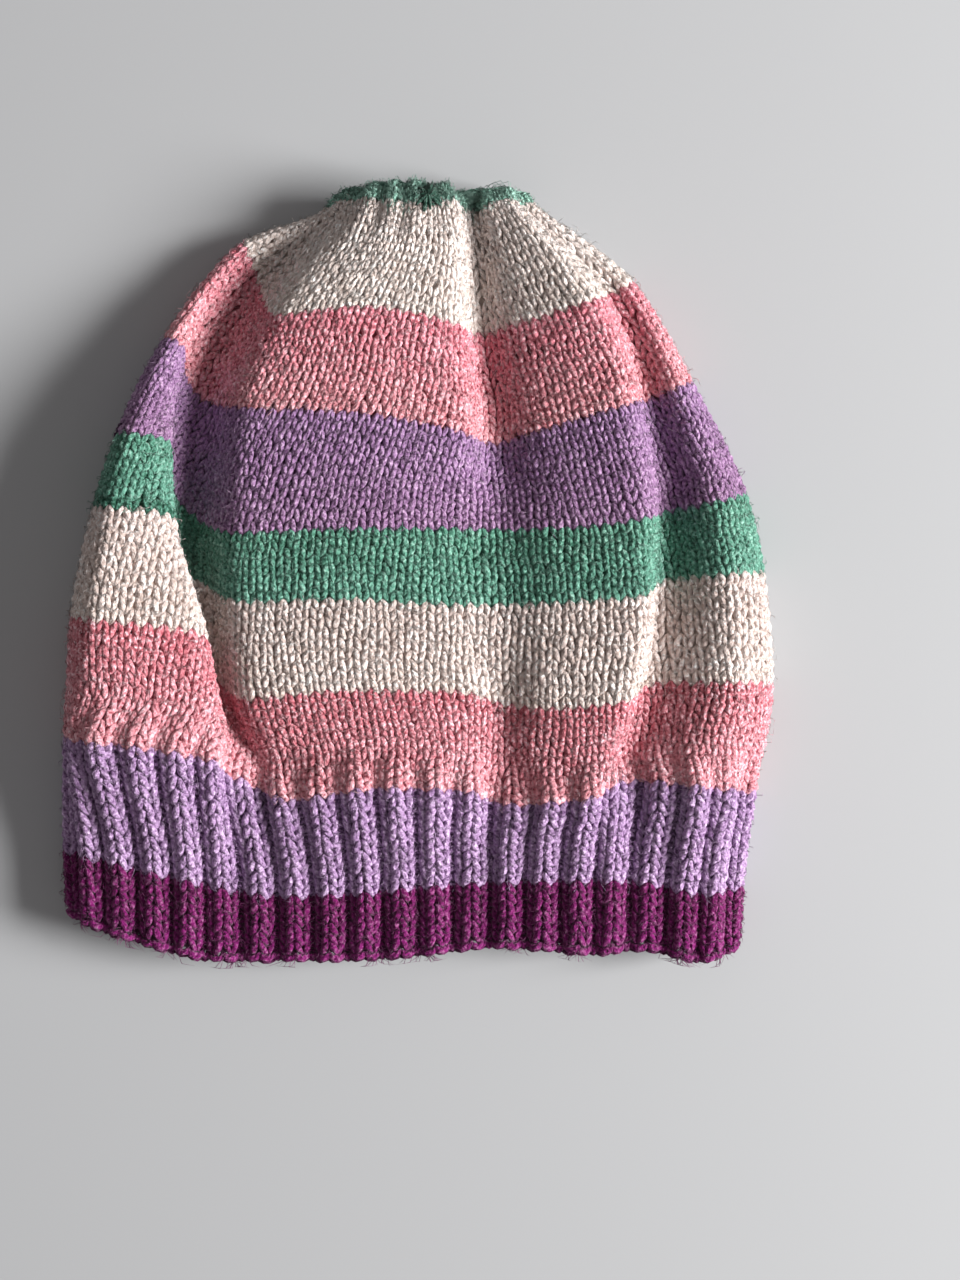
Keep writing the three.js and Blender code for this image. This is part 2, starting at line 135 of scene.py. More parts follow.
# Stripes from the brim up: node, material slot, courses, yarn colours at the stripe's foot and top,
# and the darker ground between the stitches, which is painted shade.
STRIPES = [
    ("hem_edge", "magenta_yarn", 0, 6, "7c0e66", "720a5a", "26021e"),
    ("rib_band", "lilac_yarn", 6, 16, "b492be", "aa88b4", "461a50"),
    ("stripe_pink_low", "pink_yarn", 16, 26, "e8a2ae", "d07884", "923848"),
    ("stripe_cream_low", "cream_yarn", 26, 35, "e0cec8", "d2c0bc", "d0bcb0"),
    ("stripe_green", "green_yarn", 35, 43, "669e8c", "5a927e", "144636"),
    ("stripe_purple", "purple_yarn", 43, 54, "9e78a0", "a07aa8", "3e143e"),
    ("stripe_pink_high", "pink_yarn", 54, 65, "e6a0aa", "e28898", "86222f"),
    ("stripe_cream_high", "cream_yarn", 65, 77, "e2d4ce", "e2d4d0", "d0bcb0"),
    ("crown_gather", "green_yarn", 77, 84, "92c2b2", "86b6a6", "0c2c22"),
]


class NightcapFabric(bpy.types.PropertyGroup):
    """Sizes of the knitted fabric and of the way it lies."""

    width: bpy.props.FloatProperty(
        name="Width", description="Across the widest part of the flat cap", default=0.236, unit="LENGTH")
    length: bpy.props.FloatProperty(
        name="Length", description="From the brim to the top of the crown", default=0.252, unit="LENGTH")
    loft: bpy.props.FloatProperty(
        name="Loft", description="How far the puffed fabric stands above the flat cap",
        default=0.025, unit="LENGTH")
    knit_wall: bpy.props.FloatProperty(
        name="Knit wall", description="One layer of plain fabric", default=0.0024, unit="LENGTH")
    rib_wall: bpy.props.FloatProperty(
        name="Rib wall", description="One layer of ribbing at a crest", default=0.0025, unit="LENGTH")
    rib_depth: bpy.props.FloatProperty(
        name="Rib depth", description="From a rib's crest to its valley", default=0.0027, unit="LENGTH")
    body_space: bpy.props.FloatProperty(
        name="Body space", description="Room inside the flat body", default=0.0026, unit="LENGTH")
    brim_space: bpy.props.FloatProperty(
        name="Brim space", description="Room inside the brim", default=0.0062, unit="LENGTH")
    bend_ease: bpy.props.FloatProperty(
        name="Bend ease", description="How far each way stiffness spreads a bend",
        default=0.0036, unit="LENGTH")
    side_roll: bpy.props.FloatProperty(
        name="Side roll", description="How far the fabric rolls in under each side",
        default=0.010, unit="LENGTH")
    gather_wall: bpy.props.FloatProperty(
        name="Gather wall", description="One layer of the drawn-up crown", default=0.0028, unit="LENGTH")
    dimple: bpy.props.FloatProperty(
        name="Dimple", description="How far the middle of the gather is drawn in",
        default=0.007, unit="LENGTH")


class NightcapYarn(bpy.types.PropertyGroup):
    """Sizes of the yarn and of its fuzz."""

    radius: bpy.props.FloatProperty(
        name="Yarn radius", description="Half the thickness of the fuzzy yarn",
        default=0.00125, unit="LENGTH")
    ground_depth: bpy.props.FloatProperty(
        name="Ground depth", description="From the face of the fabric down to the ground behind it",
        default=0.0014, unit="LENGTH")
    unevenness: bpy.props.FloatProperty(
        name="Unevenness", description="How far stitches stray from their places, in stitches",
        default=0.045, subtype="FACTOR")
    fuzz: bpy.props.IntProperty(
        name="Fuzz", description="Loose fibres for each stripe", default=1900)


# What a stripe's three colours are for, by the end of the property's name.
YARN_COLOURS = {
    "foot": "Yarn at the stripe's brim side",
    "top": "Yarn at the stripe's crown side",
    "ground": "Shaded ground between the stitches",
}


def yarn_colours():
    """A colour property for each colour in the table of stripes, by name."""
    made = {}
    for node, _, _, _, *codes in STRIPES:
        title = node.replace("_", " ").capitalize()
        for (end, use), code in zip(YARN_COLOURS.items(), codes):
            made[f"{node}_{end}"] = bpy.props.FloatVectorProperty(
                name=f"{title} {end}", description=use, subtype="COLOR", size=3, min=0.0, max=1.0,
                default=srgb(code))
    return made


class NightcapColours(bpy.types.PropertyGroup):
    """Colours of the yarn of each stripe."""

    __annotations__ = yarn_colours()


class NightcapStage(bpy.types.PropertyGroup):
    """Camera and light."""

    distance: bpy.props.FloatProperty(
        name="Distance", description="Camera above the cloth", default=0.62, unit="LENGTH")
    view_height: bpy.props.FloatProperty(
        name="View height", description="Height of the picture at the cap", default=0.4156, unit="LENGTH")
    look_x: bpy.props.FloatProperty(
        name="Look X", description="Middle of the picture across", default=0.0203, unit="LENGTH")
    look_y: bpy.props.FloatProperty(
        name="Look Y", description="Middle of the picture along", default=-0.0235, unit="LENGTH")
    key_power: bpy.props.FloatProperty(
        name="Key light", description="Power of the soft light on the right", default=106.0, unit="POWER")
    fill_power: bpy.props.FloatProperty(
        name="Fill light", description="Power of the weak light on the left", default=0.3, unit="POWER")
    sky: bpy.props.FloatProperty(
        name="Sky", description="Strength of the light from all round", default=0.22, subtype="FACTOR")
    floor: bpy.props.FloatVectorProperty(
        name="Floor", description="Colour of the floor", subtype="COLOR", size=3, min=0.0, max=1.0,
        default=(0.44, 0.45, 0.47))


def smooth(t):
    """An even rise from 0 to 1."""
    s = np.clip(t, 0.0, 1.0)
    return s * s * (3 - 2 * s)


def rib_share(course):
    """How much of the ribbing is left at a course."""
    return 1 - smooth((np.asarray(course, float) - BRIM_COURSES) / RIB_FADE)


def steady_slopes(at, value, loops):
    """Slopes through rows of values with no overshoot, level where a run turns back."""
    step = np.diff(at)[:, None]
    rate = np.diff(value, axis=0) / step
    before = np.vstack([rate[-1:], rate])
    after = np.vstack([rate, rate[:1]])
    step_before = np.vstack([step[-1:], step])
    step_after = np.vstack([step, step[:1]])
    p = 2 * step_after + step_before
    q = step_after + 2 * step_before
    turns = before * after <= 0
    safe_before = np.where(turns, 1.0, before)
    safe_after = np.where(turns, 1.0, after)
    slope = np.where(turns, 0.0, (p + q) / (p / safe_before + q / safe_after))
    if not loops:
        slope[0] = rate[0]
        slope[-1] = rate[-1]
    return slope


def along_curve(at, value, slope, t):
    """Values at t on the curve through rows of values with the given slopes."""
    k = np.clip(np.searchsorted(at, t, side="left") - 1, 0, len(at) - 2)
    h = (at[k + 1] - at[k])[:, None]
    s = ((t - at[k]) / (at[k + 1] - at[k]))[:, None]
    return (
        (2 * s ** 3 - 3 * s ** 2 + 1) * value[k]
        + (s ** 3 - 2 * s ** 2 + s) * h * slope[k]
        + (3 * s ** 2 - 2 * s ** 3) * value[k + 1]
        + (s ** 3 - s ** 2) * h * slope[k + 1]
    )


class Fabric:
    """The folded face of the cap as a fine grid, asked for by stitch and course."""

    PER_STITCH = 4
    PER_COURSE = 4
    FINE_STEPS = 24
    EVEN_POINTS = 480
    FIRST_COURSE = -1.5
    ALONG_WEIGHT = 0.2  # how much a step along the cap counts in the spacing of a row's spots
    CORNER_HEM = 0.3  # share of the hem's rise at the rounded corner
    FACE_SHUT = 0.93  # how far the face of the gather closes
    FACE_BULGE = 0.0006

    def __init__(self, sizes):
        self.sizes = sizes
        at = np.array(SEAM_COURSES, float)
        courses = np.arange(0, TOP_COURSE * self.PER_COURSE + 1) / self.PER_COURSE
        tracks = []
        for table in (ACROSS, ALONG, HEIGHT):
            rows = np.array(table)
            tracks.append(along_curve(at, rows, steady_slopes(at, rows, False), courses))
        columns = np.arange(0, STITCHES * self.PER_STITCH) / self.PER_STITCH
        knitted = np.array([
            self.row(course, across, up, high, columns)
            for course, across, up, high in zip(courses, *tracks)
        ])
        below = np.arange(self.FIRST_COURSE, 0, 1 / self.PER_COURSE)
        foot = knitted[0] + (knitted[1] - knitted[0]) * self.PER_COURSE * below[:, None, None]
        closing = np.arange(1, (CLOSED_COURSE - TOP_COURSE) * self.PER_COURSE + 1) / self.PER_COURSE
        face = self.gather_face(knitted[-1], closing / (CLOSED_COURSE - TOP_COURSE))
        self.grid = np.concatenate([foot, knitted, face])
        self.first = below[0]
        across = np.roll(self.grid, -1, axis=1) - np.roll(self.grid, 1, axis=1)
        up = np.gradient(self.grid, axis=0)
        out = np.cross(across, up)
        self.out = out / np.maximum(np.linalg.norm(out, axis=2, keepdims=True), 1e-12)
        self.settle()

    def row(self, course, across, up, high, columns):
        """The face at one course, at each column."""
        s = self.sizes
        ribs = float(rib_share(course))
        wall = s.knit_wall + (s.rib_wall - s.knit_wall) * ribs
        drawn = float(smooth((course - GATHER_COURSE) / (TOP_COURSE - GATHER_COURSE)))
        wall += (s.gather_wall - wall) * drawn
        flat = 2 * (wall + s.rib_depth * ribs) + s.body_space + (s.brim_space - s.body_space) * ribs
        rise = high * s.loft
        rise[1:-1] += flat
        front = np.column_stack([(across - 0.5) * s.width, up * s.length, rise])
        left, right = front[0], front[-1]
        roll = min(s.side_roll, (right[0] - left[0]) / 4)
        hem = BACK_HEM_RISE * s.length * (1 - float(smooth(course / BRIM_COURSES)))
        corner = 1 - math.sqrt(0.5)

        def under(side, inward):
            return [
                [side[0] + inward * corner * roll, side[1] + hem * self.CORNER_HEM, side[2] * corner],
                [side[0] + inward * roll, side[1] + hem, 0.0],
            ]

        middle = [(left[0] + right[0]) / 2, (left[1] + right[1]) / 2 + hem, 0.0]
        spots = np.vstack([front, under(right, -1), [middle], under(left, 1)[::-1], [left]])
        step = np.diff(spots, axis=0)
        length = np.hypot(step[:, 0], step[:, 2]) + self.ALONG_WEIGHT * np.abs(step[:, 1])
        at = np.concatenate([[0], np.cumsum(length)])
        slope = steady_slopes(at, spots, True)
        share = np.arange(self.FINE_STEPS) / self.FINE_STEPS
        t = (at[:-1, None] + np.diff(at)[:, None] * share).ravel()
        chain = along_curve(at, spots, slope, t)
        chain = np.vstack([chain, chain[:1]])
        for _ in range(2):
            chain = self.eased(chain, s.bend_ease)
        run = self.run_along(chain)
        right_side = run[np.argmax(chain[:, 0])]
        goal = np.interp(columns, [0, FRONT_STITCHES, STITCHES], [0, right_side, run[-1]])
        return np.column_stack([np.interp(goal, run, chain[:, k]) for k in range(3)])

    @staticmethod
    def run_along(chain):
        """The length run so far at each point of a chain."""
        return np.concatenate([[0], np.cumsum(np.linalg.norm(np.diff(chain, axis=0), axis=1))])

    def eased(self, chain, reach):
        """Even points round a closed chain, each moved to the middle of its neighbours in reach."""
        run = self.run_along(chain)
        goal = np.arange(self.EVEN_POINTS) * run[-1] / self.EVEN_POINTS
        even = np.column_stack([np.interp(goal, run, chain[:, k]) for k in range(3)])
        span = int(math.floor(reach * self.EVEN_POINTS / run[-1] + 0.5))
        total = sum(np.roll(even, shift, axis=0) for shift in range(-span, span + 1))
        points = total / (2 * span + 1)
        return np.vstack([points, points[:1]])

    def gather_face(self, rim, closing):
        """Rings from the crown's rim in to the pucker in the middle of its face."""
        low, high = rim.min(axis=0), rim.max(axis=0)
        centre = (low + high) / 2
        centre[0] = (PUCKER_ACROSS - 0.5) * self.sizes.width
        rings = []
        for shut in closing:
            share = 1 - self.FACE_SHUT * shut
            ring = rim * share + centre * (1 - share)
            ring[:, 1] += self.FACE_BULGE * math.sin(math.pi * min(1.0, shut * 2)) * share
            ring[:, 1] -= self.sizes.dimple * float(smooth(1 - share))
            rings.append(ring)
        return np.array(rings)

    def settle(self):
        """Move the face to where the frame's box is."""
        stitch, course = np.meshgrid(np.arange(STITCHES) + 0.5, SEAM_COURSES)
        points = self.at(stitch, course, np.zeros_like(stitch))
        low = points.reshape(-1, 3).min(axis=0)
        high = points.reshape(-1, 3).max(axis=0)
        cad_low, cad_high = np.array(CAD_BOX[0]), np.array(CAD_BOX[1])
        shift = (cad_low + cad_high) / 2 - (low + high) / 2
        shift[2] = cad_low[2] - low[2]
        self.grid = self.grid + shift

    def blended(self, grid, stitch, course):
        """A grid's value between its own columns and rows."""
        u = np.asarray(stitch, float) * self.PER_STITCH
        v = (np.asarray(course, float) - self.first) * self.PER_COURSE
        v = np.clip(v, 0, grid.shape[0] - 1.001)
        u0 = np.floor(u).astype(int)
        v0 = np.floor(v).astype(int)
        fu, fv = (u - u0)[..., None], (v - v0)[..., None]
        a, b = u0 % grid.shape[1], (u0 + 1) % grid.shape[1]
        return (
            grid[v0, a] * (1 - fu) * (1 - fv) + grid[v0, b] * fu * (1 - fv)
            + grid[v0 + 1, a] * (1 - fu) * fv + grid[v0 + 1, b] * fu * fv
        )

    def relief(self, stitch, course):
        """How far the face sinks between the ribs, and between the pleats of the crown."""
        stitch, course = np.asarray(stitch, float), np.asarray(course, float)
        place = np.mod(stitch, STITCHES_IN_RIB)
        sunk = 0.5 + 0.5 * np.cos(math.tau * (place - PURL_MIDDLE) / STITCHES_IN_RIB)
        ribs = self.sizes.rib_depth * rib_share(course) * sunk ** VALLEY_SHARPNESS
        stray = PLEAT_STRAY * np.sin(stitch * PLEAT_SWING)
        pleats = np.sin(math.tau * stitch * PLEATS / STITCHES + stray) - PLEAT_SINK
        return PLEAT_DEPTH * pleats * smooth((course - PLEAT_COURSE) / PLEAT_FADE) - ribs

    def at(self, stitch, course, lift):
        """Points at a height above the face."""
        out = self.blended(self.out, stitch, course)
        rise = np.asarray(lift) + self.relief(stitch, course)
        return self.blended(self.grid, stitch, course) + out * rise[..., None]

    def out_at(self, stitch, course):
        """Outward directions at points of the face."""
        out = self.blended(self.out, stitch, course)
        return out / np.maximum(np.linalg.norm(out, axis=-1, keepdims=True), 1e-12)

    def pitch(self, stitch, course):
        """How wide one of the brim's stitches is at a place."""
        a = self.blended(self.grid, np.asarray(stitch) + 0.5, course)
        b = self.blended(self.grid, np.asarray(stitch) - 0.5, course)
        return np.linalg.norm(a - b, axis=-1)


class Strand:
    """One short closed tube of yarn, made once and laid many times."""

    # On its cell of the bake map the tube lies above its two round ends.
    BODY_LOW = 0.2
    END_ACROSS = (0.25, 0.75)
    END_UP = 0.09
    END_SIZE = 0.07

    def __init__(self, sides, rings):
        bm = bmesh.new()
        bmesh.ops.create_grid(bm, x_segments=sides, y_segments=rings - 1, size=0.5, calc_uvs=False)
        uv = bm.loops.layers.uv.new("cell")
        for face in bm.faces:
            for loop in face.loops:
                co = loop.vert.co
                loop[uv].uv = (co.x + 0.5, co.y + 0.5)
        for vert in bm.verts:
            turn, ring = vert.co.x + 0.5, round((vert.co.y + 0.5) * (rings - 1))
            vert.co = (math.cos(math.tau * turn), math.sin(math.tau * turn), ring)
        bmesh.ops.remove_doubles(bm, verts=bm.verts, dist=1e-4)
        ends = set(bmesh.ops.holes_fill(bm, edges=bm.edges, sides=0)["faces"])
        bmesh.ops.recalc_face_normals(bm, faces=bm.faces)
        for face in bm.faces:
            for loop in face.loops:
                co = loop.vert.co
                if face in ends:
                    middle = self.END_ACROSS[co.z > 0.5]
                    loop[uv].uv = (middle + self.END_SIZE * co.x, self.END_UP + self.END_SIZE * co.y)
                else:
                    u, v = loop[uv].uv
                    loop[uv].uv = (u, self.BODY_LOW + (1 - self.BODY_LOW) * v)
        bm.verts.index_update()
        self.rings = rings
        co = np.array([v.co[:] for v in bm.verts])
        self.ring = np.rint(co[:, 2]).astype(int)
        self.cos, self.sin = co[:, 0], co[:, 1]
        self.loops = np.array([loop.vert.index for face in bm.faces for loop in face.loops])
        self.uv = np.array([loop[uv].uv[:] for face in bm.faces for loop in face.loops])
        self.sizes = np.array([len(face.loops) for face in bm.faces])
        bm.free()

    def laid(self, path, out, radius):
        """Vertices of one strand round each row of a path."""
        along = np.gradient(path, axis=1)
        along /= np.maximum(np.linalg.norm(along, axis=2, keepdims=True), 1e-12)
        side = np.cross(out, along)
        side /= np.maximum(np.linalg.norm(side, axis=2, keepdims=True), 1e-12)
        up = np.cross(along, side)
        r = radius[:, self.ring, None]
        return (
            path[:, self.ring]
            + r * (side[:, self.ring] * self.cos[:, None] + up[:, self.ring] * self.sin[:, None])
        )


class Knitting:
    """Gathers strands and cloth of one stripe, and makes one mesh of them."""

    CLOTH_SHARE = 0.24  # of the bake map's height
    CLOTH_MARGIN = 0.01
    CELL_MARGIN = 0.06  # of each strand's cell
    STRAND_STEP = 17.3  # how far apart two strands take their place in the wool's noise
    CLOTH_NOISE = 300

    def __init__(self, name):
        self.name = name
        self.batches = []

    def add_strands(self, strand, path, out, radius, shade, tint, ground=0.0):
        """Lay a strand along each path; shade is 0 to 1 up the stripe, tint strays round 0."""
        verts = strand.laid(path, out, radius)
        count, size = verts.shape[0], verts.shape[1]
        length = np.linalg.norm(np.diff(path, axis=1), axis=2).sum(axis=1)
        loops = strand.loops[None, :] + np.arange(count)[:, None] * size
        self.batches.append({
            "verts": verts.reshape(-1, 3), "loops": loops.ravel(),
            "sizes": np.tile(strand.sizes, count), "cells": (count, strand.uv),
            "strand": np.stack([
                np.tile(strand.uv[:, 0], (count, 1)),
                strand.uv[None, :, 1] * length[:, None] / MM
                + np.arange(count)[:, None] * self.STRAND_STEP,
            ], axis=-1).reshape(-1, 2),
            "shade": np.repeat(shade, size), "tint": np.repeat(tint, size),
            "ground": np.tile(np.broadcast_to(ground, (size,)), count),
        })

    def add_cloth(self, points, faces, uv, shade, ground):
        """Add the ground between the stitches, as points and four-cornered faces."""
        self.batches.append({
            "verts": points, "loops": faces.ravel(), "sizes": np.full(len(faces), 4), "cells": None,
            "uv": uv.reshape(-1, 2), "strand": uv.reshape(-1, 2) * self.CLOTH_NOISE,
            "shade": shade, "tint": np.zeros(len(points)), "ground": ground,
        })

    def bake_map(self):
        """Each strand in a cell of its own, and the cloth along the top of the map."""
        total = sum(b["cells"][0] for b in self.batches if b["cells"])
        height = 1 - self.CLOTH_SHARE
        band = self.CLOTH_SHARE - 2 * self.CLOTH_MARGIN
        cell_size = 1 - 2 * self.CELL_MARGIN
        rows = max(1, math.ceil(math.sqrt(total * height)))
        columns = max(1, math.ceil(total / rows))
        maps, first = [], 0
        for batch in self.batches:
            if not batch["cells"]:
                maps.append(np.column_stack([
                    batch["uv"][:, 0], height + self.CLOTH_MARGIN + batch["uv"][:, 1] * band,
                ]))
                continue
            count, uv = batch["cells"]
            cell = first + np.arange(count)
            first += count
            u = (cell % columns)[:, None] + self.CELL_MARGIN + cell_size * uv[None, :, 0]
            v = (cell // columns)[:, None] + self.CELL_MARGIN + cell_size * uv[None, :, 1]
            maps.append(np.stack([u / columns, v / rows * height], axis=-1).reshape(-1, 2))
        return np.concatenate(maps)

    def mesh(self):
        """One mesh of every strand and the cloth."""
        starts = np.cumsum([0] + [len(b["verts"]) for b in self.batches[:-1]])
        verts = np.concatenate([b["verts"] for b in self.batches])
        loops = np.concatenate([b["loops"] + s for b, s in zip(self.batches, starts)])
        sizes = np.concatenate([b["sizes"] for b in self.batches])
        mesh = bpy.data.meshes.new(self.name)
        mesh.vertices.add(len(verts))
        mesh.vertices.foreach_set("co", verts.astype(np.float32).ravel())
        mesh.loops.add(len(loops))
        mesh.loops.foreach_set("vertex_index", loops.astype(np.int32))
        mesh.polygons.add(len(sizes))
        mesh.polygons.foreach_set("loop_start", (np.cumsum(sizes) - sizes).astype(np.int32))
        mesh.polygons.foreach_set("loop_total", sizes.astype(np.int32))
        mesh.polygons.foreach_set("use_smooth", np.ones(len(sizes), bool))
        mesh.update(calc_edges=True)
        for title, values in (("OFBake", self.bake_map()),
                              ("strand", np.concatenate([b["strand"] for b in self.batches]))):
            layer = mesh.uv_layers.new(name=title)
            layer.data.foreach_set("uv", values.astype(np.float32).ravel())
        for title in ("shade", "tint", "ground"):
            layer = mesh.attributes.new(title, "FLOAT", "POINT")
            values = np.concatenate([b[title] for b in self.batches])
            layer.data.foreach_set("value", values.astype(np.float32))
        mesh.validate()
        return mesh


def add_piece(mesh, node, material):
    """Put a finished mesh in the scene in place of a node."""
    piece = bpy.data.objects.new(mesh.name, mesh)
    bpy.context.scene.collection.objects.link(piece)
    mesh.materials.append(material)
    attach(piece, "root")
    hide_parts(node)
    return piece


class Shader:
    """Adds nodes to a material and gives back sockets that take part in Python sums."""

    def __init__(self, name):
        self.material = bpy.data.materials.new(name)
        self.material.use_nodes = True
        self.tree = self.material.node_tree
        self.tree.nodes.clear()

    def node(self, kind, settings=None, inputs=None, output=0):
        """Add a node with its settings and inputs, and give back one of its outputs."""
        made = self.tree.nodes.new(kind)
        for key, value in (settings or {}).items():
            setattr(made, key, value)
        for key, value in (inputs or {}).items():
            if isinstance(value, Value):
                self.tree.links.new(value.socket, made.inputs[key])
            else:
                made.inputs[key].default_value = value
        return Value(self, made.outputs[output]) if len(made.outputs) else None

    def mix(self, factor, a, b):
        """A colour between two colours."""
        a, b = (c if isinstance(c, Value) else (*c, 1.0) for c in (a, b))
        return self.node("ShaderNodeMix", {"data_type": "RGBA"}, {0: factor, 6: a, 7: b}, output=2)


class Value:
    """A socket's number, which can be added, taken away and multiplied."""

    def __init__(self, shader, socket):
        self.shader = shader
        self.socket = socket

    def _math(self, operation, a, b, clamp=False):
        settings = {"operation": operation, "use_clamp": clamp}
        return self.shader.node("ShaderNodeMath", settings, {0: a, 1: b})

    def __add__(self, other):
        return self._math("ADD", self, other)

    __radd__ = __add__

    def __sub__(self, other):
        return self._math("SUBTRACT", self, other)

    def __rsub__(self, other):
        return self._math("SUBTRACT", other, self)

    def __mul__(self, other):
        return self._math("MULTIPLY", self, other)

    __rmul__ = __mul__

    def sine(self):
        """The sine of an angle."""
        return self._math("SINE", self, 0.0)

    def clamped(self):
        """The same, kept from 0 to 1."""
        return self._math("ADD", self, 0.0, clamp=True)


# Noises of the wool: on the strand's own map in features round it and for each millimetre along it,
# or on the object's coordinates in features for each metre.
HEATHER_SCALE, FIBRE_SCALE = (4.0, 0.8, 1.0), (6.0, 1.3, 1.0)
CLOUD_SCALE, FLECK_SCALE, GRAIN_SCALE = 45.0, 1150.0, 2200.0
# The twist of the plies: turns round the strand and for each millimetre along it, and its unevenness.
PLY_ROUND, PLY_ALONG, PLY_STRAY = 2.0, 0.42, 0.25
# How much each noise strays the colour, and how high it stands in the bump.
STRAYS = {"heather": 1.3, "fibre": 3.6, "fleck": 2.8, "cloud": 0.5}
RIDGES = {"ply": 0.6, "fibre": 1.1, "fleck": 1.4, "grain": 0.7}
# Pale flecks, of pale fibres in the heathered yarn and of painted highlights on the fibres: how much
# lighter than the yarn, how much white shows in dark and in light yarn, and the stray at which they start
# and their strength. The dark colour, of dark fibres and of painted shade between the fibres and in the
# grooves between the plies: the power and share of the yarn's colour, the share of the ground's, and the
# strength by stray and by ply.
PALE_GAIN, PALE_WHITE, PALE_LIGHT = 1.25, 0.07, 0.12
PALE_FROM, PALE_STRENGTH = 0.08, 1.05
DEEP_POWER, DEEP_SHARE, DEEP_GROUND = 1.55, 0.31, 0.5
DEEP_STRENGTH, PLY_FROM, PLY_STRENGTH = 0.95, 0.3, 0.25
# How far a fully shaded point goes to the darker ground colour: painted shade.
GROUND_SHADE_STRENGTH = 0.8
ROUGHNESS, FIBRE_ROUGHNESS = 0.8, 0.14
BUMP_HEIGHT = 0.0005


def yarn_material(name, foot, top, ground):
    """Heathered, fuzzy wool whose colour shifts a little up the stripe."""
    shader = Shader(name)
    shade, tint, depth = (
        shader.node("ShaderNodeAttribute", {"attribute_name": title}, output=2)
        for title in ("shade", "tint", "ground")
    )
    strand = shader.node("ShaderNodeUVMap", {"uv_map": "strand"})
    place = shader.node("ShaderNodeTexCoord", output=3)

    def noise(vector, scale, detail=2.0):
        return shader.node("ShaderNodeTexNoise", {}, {"Vector": vector, "Scale": scale, "Detail": detail})

    def along_strand(scale):
        return shader.node("ShaderNodeMapping", {}, {"Vector": strand, "Scale": scale})

    noises = {
        "heather": noise(along_strand(HEATHER_SCALE), 1.0, 3.0),
        "fibre": noise(along_strand(FIBRE_SCALE), 1.0),
        "cloud": noise(place, CLOUD_SCALE),
        "fleck": noise(place, FLECK_SCALE, 3.0),
        "grain": noise(place, GRAIN_SCALE),
    }
    around, along = (
        shader.node("ShaderNodeSeparateXYZ", {}, {"Vector": strand}, output=axis) for axis in (0, 1)
    )
    turns = around * PLY_ROUND + along * PLY_ALONG + (noises["heather"] - 0.5) * PLY_STRAY
    ply = (turns * math.tau).sine() * 0.5 + 0.5
    # Pale flecks: pale fibres of the heathered yarn, and painted highlights on the fibres.
    white = PALE_WHITE + PALE_LIGHT * sum(foot)
    pale = [min(1.0, c * PALE_GAIN + white) for c in foot]
    # The dark colour: dark fibres of the heathered yarn, and painted shade between the fibres and in the
    # grooves between the plies, where the noises and the tint stray low and where the plies part.
    dark_fleck_and_shade = [DEEP_SHARE * c ** DEEP_POWER + DEEP_GROUND * g for c, g in zip(top, ground)]
    strayed = sum(((noises[key] - 0.5) * share for key, share in STRAYS.items()), tint)
    sunk = (0.0 - strayed) * DEEP_STRENGTH + (PLY_FROM - ply) * PLY_STRENGTH
    base = shader.mix(shade, foot, top)
    base = shader.mix(((strayed - PALE_FROM) * PALE_STRENGTH).clamped(), base, pale)
    base = shader.mix(sunk.clamped(), base, dark_fleck_and_shade)
    # Painted shade: each point goes to the darker ground colour by the share that the mesh gives it.
    base = shader.mix(depth * GROUND_SHADE_STRENGTH, base, ground)
    ridge = sum({**noises, "ply": ply}[key] * share for key, share in RIDGES.items())
    normal = shader.node("ShaderNodeBump", {}, {"Strength": 1.0, "Distance": BUMP_HEIGHT, "Height": ridge})
    surface = shader.node("ShaderNodeBsdfPrincipled", {}, {
        "Base Color": base, "Roughness": noises["fibre"] * FIBRE_ROUGHNESS + ROUGHNESS, "Normal": normal,
        "Sheen Weight": 0.14, "Sheen Roughness": 0.5, "Specular IOR Level": 0.2,
    })
    shader.node("ShaderNodeOutputMaterial", {}, {"Surface": surface})
    return shader.material


# A knitted stitch's left leg, from its foot under the stitch below to its shoulder under the one above:
# across in stitches, along in courses, height and thickness in yarn radii.
LEG = {
    "across": [-0.03, -0.11, -0.255, -0.395, -0.45],
    "along": [-0.44, 0.05, 0.55, 1.03, 1.44],
    "height": [-1.60, -0.25, 0.22, -0.10, -1.60],
    "thick": [0.68, 1.04, 1.22, 1.04, 0.60],
}
# The same with fewer rings, for the side that lies on the floor.
PLAIN_LEG = {
    "across": [-0.06, -0.18, -0.34, -0.42],
    "along": [-0.50, 0.12, 0.76, 1.38],
    "height": [-1.50, 0.0, 0.05, -1.40],
    "thick": [0.75, 1.14, 1.10, 0.65],
}
# A purled stitch shows the head of its own loop, and the yarn that runs on to its neighbours below it.
BUMPS = [
    {
        "across": [-0.60, -0.36, 0.0, 0.36, 0.60],
        "along": [0.05, 0.50, 0.70, 0.50, 0.05],
        "height": [-1.2, -0.1, 0.25, -0.1, -1.2],
        "thick": [0.9, 1.15, 1.25, 1.15, 0.9],
    },
    {
        "across": [-0.78, -0.42, 0.0, 0.42, 0.78],
        "along": [0.42, 0.16, 0.06, 0.16, 0.42],
        "height": [-0.9, -0.35, -0.3, -0.35, -0.9],
        "thick": [0.9, 1.1, 1.15, 1.1, 0.9],
    },
]
# The two strands twisted along the cast-on edge, under each stitch.
EDGES = [
    {
        "across": [-0.62, -0.28, 0.06, 0.36, 0.60],
        "along": [-0.10, -0.52, -0.66, -0.50, -0.12],
        "height": [-1.0, 0.0, 0.25, 0.0, -1.0],
        "thick": [0.80, 1.10, 1.20, 1.10, 0.80],
    },
    {
        "across": [-0.55, -0.25, 0.02, 0.30, 0.62],
        "along": [-0.70, -0.86, -0.90, -0.80, -0.55],
        "height": [-2.4, -1.4, -1.1, -1.4, -2.4],
        "thick": [0.85, 1.05, 1.10, 1.05, 0.85],
    },
]
